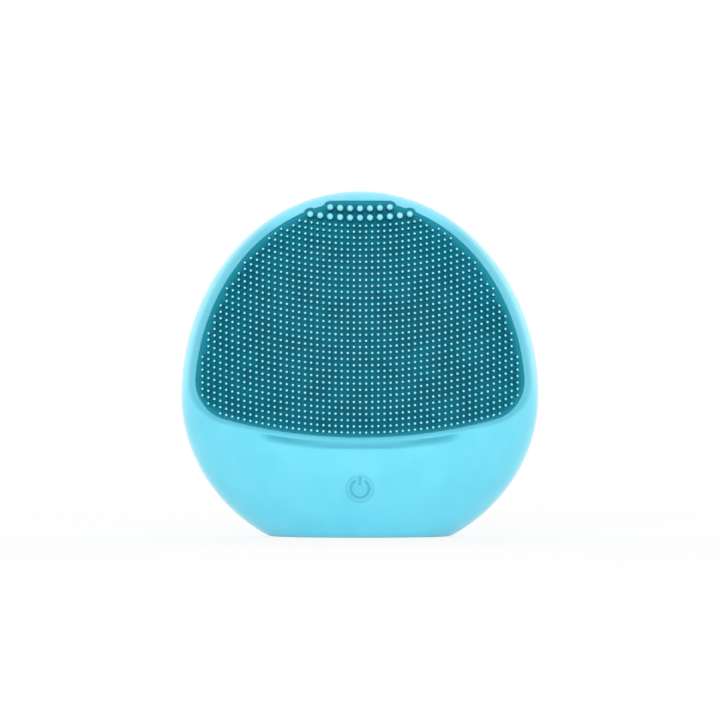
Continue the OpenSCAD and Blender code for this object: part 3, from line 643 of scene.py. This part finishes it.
def make_button():
    """The cap of the power button: rings of the skin's own depth with a rounded edge and a shallow symbol,
    and the stem behind them."""
    turn = np.arange(BUTTON_COLUMNS) * 2 * math.pi / BUTTON_COLUMNS
    bend = np.linspace(0, math.pi / 2, BUTTON_EDGE_ROWS)[1:, None]
    flat = np.linspace(POLE, 1, BUTTON_ROWS)[:, None] * (BUTTON_R - BUTTON_EDGE_R)
    round_r = BUTTON_R - BUTTON_EDGE_R * (1 - np.sin(bend))
    radius = np.concatenate([flat, round_r])
    x, dz = radius * np.cos(turn), radius * np.sin(turn)
    z = BUTTON_Z + dz
    stroke = np.clip(0.5 - symbol_field(x, dz) / SYMBOL_SOFT, 0, 1)
    drop = SYMBOL_DEPTH * smooth(stroke)
    drop[len(flat):] = BUTTON_EDGE_R * (1 - np.cos(bend))
    front = np.stack([x, -stepped_depth(x, z) + drop, z], -1)
    back_r = np.array([BUTTON_R, STEM_R, STEM_R])[:, None]
    x, z = back_r * np.cos(turn), BUTTON_Z + back_r * np.sin(turn)
    back_y = np.array([1, 1, 0])[:, None] * -skin_depth(x, z, BUTTON_T)
    back_y[2] = button_high[1]
    back = np.stack([x, back_y, z], -1)
    points, faces = closed_rows(np.concatenate([front, back]))
    button = face_out(mesh_piece("Power_button", points, faces, [SILICONE_BUTTON]))
    # Painted shade on the cap's face, fading out over its rounded edge; the symbol's strokes take the full
    # share
    shade = CAP_PAINTED_SHADE + (1 - CAP_PAINTED_SHADE) * stroke
    shade[len(flat):] = CAP_PAINTED_SHADE * np.cos(bend)
    set_share(button, "symbol", np.concatenate([shade.ravel(), np.zeros(len(points) - shade.size)]))
    button.data.set_sharp_from_angle(angle=BUTTON_SHARP)
    return button


def make_ridges():
    """Massage ridges on the back: ribs with rounded tops along arcs about the rows' centre, each as long as
    the oval field allows. A rib's height falls with a power of the way from its middle line, and at its ends
    it tapers as a circle does into the skin."""
    points, faces = [], []
    for i in range(RIDGE_COUNT):
        radius = ROW_CENTRE_Z - RIDGE_Z + (i - (RIDGE_COUNT - 1) / 2) * RIDGE_PITCH
        angle = np.linspace(*RIDGE_TABLE)
        x, z = radius * np.sin(angle), ROW_CENTRE_Z - radius * np.cos(angle)
        held = np.hypot(x / RIDGE_FIELD[0], (z - RIDGE_Z) / RIDGE_FIELD[1]) < 1
        if not held[0]:
            continue
        end = angle[held][-1]
        along = end * np.sin(np.linspace(-math.pi / 2, math.pi / 2, RIDGE_ROWS))
        fall = np.clip((end - np.abs(along)) * radius / RIDGE_W * 2, 0, 1)
        taper = np.sqrt(1 - (1 - fall) ** 2)[:, None]
        across = np.linspace(-1, 1, RIDGE_COLUMNS)[None, :]
        r = radius + across * RIDGE_W / 2 * (RIDGE_END + (1 - RIDGE_END) * taper)
        x, z = r * np.sin(along[:, None]), ROW_CENTRE_Z - r * np.cos(along[:, None])
        height = RIDGE_H * taper * (1 - np.abs(across) ** RIDGE_CROWN)
        top = np.stack([x, skin_depth(x, z) + height, z], -1)
        foot_x, foot_z = x[:, ::-1][:, RIDGE_FEET], z[:, ::-1][:, RIDGE_FEET]
        foot = np.stack([foot_x, skin_depth(foot_x, foot_z) - RIDGE_ROOT, foot_z], -1)
        more, more_faces = closed_rows(np.concatenate([top, foot], 1))
        offset = sum(len(ring) for ring in points)
        points.append(more)
        faces += [[corner + offset for corner in face] for face in more_faces]
    return face_out(mesh_piece("Massage_ridges", np.vstack(points), faces, [SILICONE_SKIN]))


# ---------------------------------------------------------------- materials

# Noise that shows as soft patches, and the detail of a grain
PATCH_RANGE = (0.3, 0.7)
GRAIN_DETAIL = 2.0


class Sock:
    """A shader socket that takes part in sums: each operator makes a Math node in the same tree."""

    def __init__(self, tree, socket):
        self.tree, self.socket = tree, socket

    def node(self, kind, inputs, out=0, **settings):
        """A new node with its settings and inputs, as the socket that comes out of it."""
        made = self.tree.nodes.new(kind)
        for key, value in settings.items():
            setattr(made, key, value)
        for key, value in inputs.items():
            if isinstance(value, Sock):
                self.tree.links.new(value.socket, made.inputs[key])
            else:
                made.inputs[key].default_value = value
        return Sock(self.tree, made.outputs[out])

    def math(self, operation, *values):
        """A Math node on sockets and numbers."""
        return self.node("ShaderNodeMath", dict(enumerate(values)), operation=operation)

    def __add__(self, other):
        return self.math("ADD", self, other)

    def __sub__(self, other):
        return self.math("SUBTRACT", self, other)

    def __mul__(self, other):
        return self.math("MULTIPLY", self, other)

    def __radd__(self, other):
        return self.math("ADD", other, self)

    def __rsub__(self, other):
        return self.math("SUBTRACT", other, self)

    def __rmul__(self, other):
        return self.math("MULTIPLY", other, self)

    def ramp(self, low, high):
        """From 0 at low to 1 at high, with level ends."""
        return self.node("ShaderNodeMapRange", {"Value": self, "From Min": low, "From Max": high},
                         interpolation_type="SMOOTHSTEP")

    def patches(self):
        """Soft patches from noise, from 0 to 1."""
        return self.ramp(*PATCH_RANGE)

    def blend(self, low, high):
        """A colour between two colours, or fields of colour, by this share."""
        return self.node("ShaderNodeMix", {0: self, 6: low, 7: high}, out=2, data_type="RGBA")


class Finish:
    """A material being made: its principled shader and its coordinates, in millimetres on the object."""

    def __init__(self, name, **constants):
        self.material = bpy.data.materials.new(name)
        self.material.use_nodes = True
        self.tree = self.material.node_tree
        self.shader = self.tree.nodes["Principled BSDF"]
        for key, value in constants.items():
            self.shader.inputs[key.replace("_", " ")].default_value = value
        here = Sock(self.tree, None).node("ShaderNodeTexCoord", {}, out="Object")
        self.here = here.node("ShaderNodeVectorMath", {0: here, 3: 1 / MM}, operation="SCALE")

    def along(self, axis):
        """One coordinate of the object, in millimetres."""
        return self.here.node("ShaderNodeSeparateXYZ", {0: self.here}, out=axis)

    def share(self, name):
        """A float kept on the mesh."""
        return self.here.node("ShaderNodeAttribute", {}, out="Fac", attribute_name=name)

    def noise(self, size, detail=3.0, stretch=None):
        """Soft noise about one half whose patches are about size millimetres wide."""
        place = self.here
        if stretch:
            place = place.node("ShaderNodeVectorMath", {0: place, 1: stretch}, operation="MULTIPLY")
        return place.node("ShaderNodeTexNoise", {"Vector": place, "Scale": 1 / size, "Detail": detail})

    def set(self, **fields):
        """Links fields to the shader's sockets."""
        for key, field in fields.items():
            self.tree.links.new(field.socket, self.shader.inputs[key.replace("_", " ")])
        return self

    def bump(self, height, depth, strength):
        """Raises the surface by a field from 0 to 1, over a depth in millimetres."""
        sockets = {"Height": height, "Distance": depth * MM, "Strength": strength}
        return self.set(Normal=height.node("ShaderNodeBump", sockets))


def rgb(red, green, blue):
    """A colour from sRGB bytes, as linear light."""
    parts = [c / 255 for c in (red, green, blue)]
    return tuple(c / 12.92 if c <= 0.04045 else ((c + 0.055) / 1.055) ** 2.4 for c in parts) + (1.0,)


def skin_finish(name):
    """Soft-touch silicone: an even tint with faint clouding, painted shade along the step and beside the
    panel, a satin gloss that varies a little, a very fine moulded grain, and a hairline where the two halves
    of the mould met."""
    look = Finish(name, Sheen_Weight=1.0, Sheen_Roughness=0.42, IOR=1.42, Subsurface_Weight=0.12,
                  Subsurface_Scale=0.002, Subsurface_Radius=(0.3, 0.8, 1.0))
    cloud = look.noise(9.0).patches()
    grain = look.noise(0.16, GRAIN_DETAIL)
    parting = look.along(1).math("ABSOLUTE", look.along(1)).ramp(0.12, 0.03)
    tint = cloud.blend(SKIN_LOW, SKIN_HIGH)
    # Painted shade along the step and beside the panel, as kept on the sleeve's points
    tint = look.share("painted_shade").blend(tint, SKIN_PAINTED_SHADE)
    look.set(Base_Color=(parting * 0.25).blend(tint, SKIN_LINE))
    look.set(Roughness=0.40 + cloud * 0.05 + look.noise(1.6).ramp(0.35, 0.65) * 0.06)
    look.bump(grain * 0.35 + parting * 0.65, 0.05, 0.35)
    return look


def panel_finish():
    """The panel's darker silicone, a little lighter towards its border, with a fine grain."""
    look = Finish("Silicone_panel", IOR=1.4, Specular_IOR_Level=0.12)
    cloud = look.noise(5.0).patches()
    ground = cloud.blend(PANEL_DEEP, PANEL_MID)
    look.set(Base_Color=look.share("border").blend(ground, PANEL_BORDER))
    look.set(Roughness=0.46 + cloud * 0.08)
    look.bump(look.noise(0.18, GRAIN_DETAIL), 0.04, 0.35)
    return look.material


def bristle_finish():
    """Bristles that turn from the panel's colour at the root to a tip lit by painted light, with a painted
    highlight that differs a little on each.
    """
    look = Finish("Silicone_bristle", IOR=1.15, Specular_IOR_Level=0.25, Subsurface_Weight=0.1,
                  Subsurface_Scale=0.001, Subsurface_Radius=(0.4, 0.9, 1.0))
    painted_tip_light = look.share("painted_tip_light").ramp(0.0, 1.0)
    # Painted light: the tip's colour stands for the light that the tips catch
    body = painted_tip_light.blend(BRISTLE_ROOT_TINT, BRISTLE_TIP_PAINTED_LIGHT)
    # Painted highlight on the tips, a little stronger or weaker on each bristle
    painted_highlight = (look.share("each") * 0.18 + look.noise(7.0).patches() * 0.12) * painted_tip_light
    look.set(Base_Color=painted_highlight.blend(body, BRISTLE_PAINTED_HIGHLIGHT))
    look.set(Roughness=0.5 - painted_tip_light * 0.12)
    look.bump(look.noise(0.12, GRAIN_DETAIL), 0.01, 0.25)
    return look.material


def button_finish():
    """The cap's silicone with painted shade on its face, and the strokes of its symbol deeper still."""
    look = skin_finish("Silicone_button")
    # This share holds the painted shade on the face and the symbol's strokes
    symbol = look.share("symbol")
    tint = look.shader.inputs["Base Color"].links[0].from_socket
    look.set(Base_Color=symbol.blend(Sock(look.tree, tint), SYMBOL_AND_PAINTED_SHADE_TINT))
    return look.material


def plain_finish(name, low, high, rough, patch=2.0, grain=0.25, depth=0.02, metal=0.0, **constants):
    """A moulded, cast or rolled surface: two near shades in soft patches, a gloss that follows them, and a
    grain. Patch, grain and depth are in millimetres."""
    look = Finish(name, Metallic=metal, **constants)
    cloud = look.noise(patch).patches()
    look.set(Base_Color=cloud.blend(low, high))
    look.set(Roughness=rough + cloud * 0.08)
    look.bump(look.noise(grain, GRAIN_DETAIL), depth, 0.4)
    return look.material


def brushed_finish(name, low, high, rough, stretch):
    """Metal with fine drawn lines: noise that is stretched along one way."""
    look = Finish(name, Metallic=1.0)
    lines = look.noise(0.5, stretch=stretch)
    look.set(Base_Color=lines.blend(low, high))
    look.set(Roughness=rough + lines * 0.12)
    look.bump(lines, 0.01, 0.4)
    return look.material


SKIN_LOW = rgb(103, 211, 234)
SKIN_HIGH = rgb(110, 216, 237)
SKIN_LINE = rgb(138, 226, 242)
# Painted shade along the step and beside the panel
SKIN_PAINTED_SHADE = rgb(56, 170, 192)
# The symbol's strokes, and the painted shade on the button's face
SYMBOL_AND_PAINTED_SHADE_TINT = rgb(75, 181, 205)
PANEL_DEEP = rgb(0, 105, 125)
PANEL_MID = rgb(8, 121, 143)
PANEL_BORDER = rgb(34, 148, 168)
BRISTLE_ROOT_TINT = rgb(0, 94, 115)
# Painted light on the bristles' tips, and a painted highlight on them
BRISTLE_TIP_PAINTED_LIGHT = rgb(148, 241, 255)
BRISTLE_PAINTED_HIGHLIGHT = rgb(196, 250, 255)

SILICONE_SKIN = skin_finish("Silicone_skin").material
SILICONE_PANEL = panel_finish()
SILICONE_BRISTLE = bristle_finish()
SILICONE_BUTTON = button_finish()

# ---------------------------------------------------------------- the object

sleeve = make_sleeve()
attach(sleeve, "root")
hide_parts("silicone_sleeve")

ridges = make_ridges()
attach(ridges, "root")
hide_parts("silicone_sleeve")

pad = make_pad()
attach(pad, "root")
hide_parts("bristle_pad")

fine_profile = peg_profile(FINE_H, FINE_D / 2, FINE_TIP, FINE_DOME, FINE_RINGS)
fine = make_pegs("Fine_bristles", fine_places(), fine_profile, FINE_SIDES, FINE_H, FINE_PAINTED_LIGHT)
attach(fine, "root")
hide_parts("fine_bristles_upper", "fine_bristles_lower")

thick_profile = peg_profile(THICK_H, THICK_D / 2, THICK_TIP, THICK_DOME, THICK_RINGS)
thick = make_pegs("Thick_bristles", np.hstack(thick_places()), thick_profile, THICK_SIDES, THICK_H, THICK_PAINTED_LIGHT)
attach(thick, "root")
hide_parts("thick_bristles")

button = make_button()
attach(button, "button")
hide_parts("power_button")

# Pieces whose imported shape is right, by the finish that they take
STEEL = brushed_finish("Steel_screws", rgb(170, 172, 176), rgb(204, 206, 210), 0.28, (1, 0.2, 1))
NODE_FINISHES = {
    "front_housing": plain_finish("Housing_plastic", rgb(226, 228, 228), rgb(238, 239, 238), 0.38),
    "housing_gasket": plain_finish("Gasket_rubber", rgb(44, 46, 50), rgb(58, 60, 64), 0.6),
    "circuit_board": plain_finish("Board_laminate", rgb(14, 82, 44), rgb(24, 104, 56), 0.35, 1.2),
    "controller_chip": plain_finish("Chip_resin", rgb(22, 22, 24), rgb(36, 36, 38), 0.45, 0.8, 0.12),
    "board_components": plain_finish("Component_ceramic", rgb(176, 150, 112), rgb(200, 176, 140), 0.4, 0.8,
                                     0.12),
    "switch_plunger": plain_finish("Plunger_plastic", rgb(222, 214, 190), rgb(236, 230, 210), 0.4),
    "status_led": plain_finish("Light_resin", rgb(236, 236, 226), rgb(250, 250, 242), 0.25),
    "light_pipe": plain_finish("Pipe_acrylic", rgb(232, 242, 246), rgb(244, 250, 252), 0.08, depth=0.005,
                               Transmission_Weight=0.8, IOR=1.49),
    "charge_socket": plain_finish("Socket_plastic", rgb(26, 27, 30), rgb(40, 41, 45), 0.38, 1.0, 0.12),
    "socket_contact": plain_finish("Contact_gold", rgb(214, 168, 84), rgb(236, 196, 112), 0.22, metal=1.0),
    "battery_cell": brushed_finish("Cell_foil", rgb(176, 180, 186), rgb(206, 209, 214), 0.34, (1, 1, 0.15)),
    "battery_foam": plain_finish("Cell_foam", rgb(214, 214, 210), rgb(234, 234, 230), 0.85, 0.8, 0.3, 0.15),
    "battery_wires": plain_finish("Wire_red", rgb(176, 26, 30), rgb(200, 40, 42), 0.42),
    "motor_wires": plain_finish("Wire_blue", rgb(30, 60, 168), rgb(44, 80, 190), 0.42),
    "motor_can": brushed_finish("Motor_steel", rgb(168, 170, 174), rgb(196, 198, 202), 0.3, (1, 1, 0.15)),
    "motor_magnet": plain_finish("Magnet_ferrite", rgb(58, 58, 62), rgb(76, 76, 80), 0.5, 1.0, 0.12),
    "motor_bearings": plain_finish("Bearing_bronze", rgb(170, 124, 62), rgb(196, 150, 82), 0.34, metal=1.0),
    "rotor_core": plain_finish("Core_copper", rgb(176, 96, 56), rgb(204, 122, 78), 0.36, metal=1.0),
    "eccentric_weight": plain_finish("Weight_tungsten", rgb(96, 98, 102), rgb(122, 124, 128), 0.4,
                                     metal=1.0),
}
SAME_FINISH = {
    "rear_housing": "front_housing", "motor_bracket": "front_housing", "port_seal": "housing_gasket",
    "motor_boot": "housing_gasket", "tact_switch": "controller_chip", "motor_end_cap": "switch_plunger",
    "motor_shaft": "motor_can",
}
for name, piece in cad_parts.items():
    finish = NODE_FINISHES.get(SAME_FINISH.get(name, name), STEEL)
    for slot in piece.material_slots:
        slot.material = finish

# ---------------------------------------------------------------- floor, light and camera

def seen_straight(tree):
    """1 for what the camera sees straight, in a gloss or through something clear, and 0 for what lights the
    object."""
    rays = Sock(tree, None)
    straight, gloss, through = (rays.node("ShaderNodeLightPath", {}, out=name)
                                for name in ("Is Camera Ray", "Is Glossy Ray", "Is Transmission Ray"))
    return straight.math("MAXIMUM", straight, gloss.math("MAXIMUM", gloss, through))


def make_floor():
    """A plain pale floor: where it is seen it is nearly white, keeps a part of the object's shadow and is
    white far from the object; in what lights the object it is a plain diffuse surface."""
    corners = [(-FLOOR, -FLOOR, 0), (FLOOR, -FLOOR, 0), (FLOOR, FLOOR, 0), (-FLOOR, FLOOR, 0)]
    floor = mesh_piece("Floor", corners, [(0, 1, 2, 3)], [])
    material = bpy.data.materials.new("Floor_paint")
    material.use_nodes = True
    tree = material.node_tree
    tree.nodes.clear()
    path = seen_straight(tree)
    place = path.node("ShaderNodeTexCoord", {}, out="Object")
    speck = path.node("ShaderNodeTexNoise", {"Vector": place, "Scale": FLOOR_SPECKS, "Detail": GRAIN_DETAIL})
    tint = path.blend(FLOOR_BOUNCE, speck.blend(FLOOR_LOW, FLOOR_HIGH))
    paint = path.node("ShaderNodeBsdfDiffuse", {"Color": tint})
    glow = path.node("ShaderNodeEmission", {"Color": WHITE, "Strength": 1.0})
    away = place.node("ShaderNodeVectorMath", {0: place}, out="Value", operation="LENGTH").ramp(*FLOOR_FADE)
    share = path * (FLOOR_GLOW + away * (1 - FLOOR_GLOW))
    seen = path.node("ShaderNodeMixShader", {0: share, 1: paint, 2: glow})
    end = tree.nodes.new("ShaderNodeOutputMaterial")
    tree.links.new(seen.socket, end.inputs["Surface"])
    floor.data.materials.append(material)


def make_world():
    """A white surround where it is seen, and an even soft light for everything else."""
    world = bpy.data.worlds.new("Studio")
    bpy.context.scene.world = world
    world.use_nodes = True
    tree = world.node_tree
    tree.nodes.clear()
    path = seen_straight(tree)
    soft = path.node("ShaderNodeBackground", {"Color": WHITE, "Strength": WORLD_LIGHT})
    white = path.node("ShaderNodeBackground", {"Color": WHITE, "Strength": 1.0})
    both = path.node("ShaderNodeMixShader", {0: path, 1: soft, 2: white})
    end = tree.nodes.new("ShaderNodeOutputWorld")
    tree.links.new(both.socket, end.inputs["Surface"])


def make_light(name, place, target, size, power):
    """A square soft light at a place in metres that faces a target."""
    lamp = bpy.data.lights.new(name, "AREA")
    lamp.shape = "RECTANGLE"
    lamp.size, lamp.size_y = size
    lamp.energy = power
    light = bpy.data.objects.new(name, lamp)
    bpy.context.scene.collection.objects.link(light)
    light.location = place
    way = Vector(target) - Vector(place)
    light.rotation_euler = way.to_track_quat("-Z", "Y").to_euler()


make_floor()
make_world()
for light in LIGHTS:
    make_light(*light)

camera = bpy.data.cameras.new("Camera")
camera.lens = LENS
camera.sensor_width = SENSOR
camera.clip_end = VIEW_END
viewer = bpy.data.objects.new("Camera", camera)
bpy.context.scene.collection.objects.link(viewer)
viewer.location = (0, -CAMERA_AWAY, CAMERA_Z)
viewer.rotation_euler = (math.pi / 2, 0, 0)
bpy.context.scene.camera = viewer
bpy.context.scene.view_settings.view_transform = "Standard"
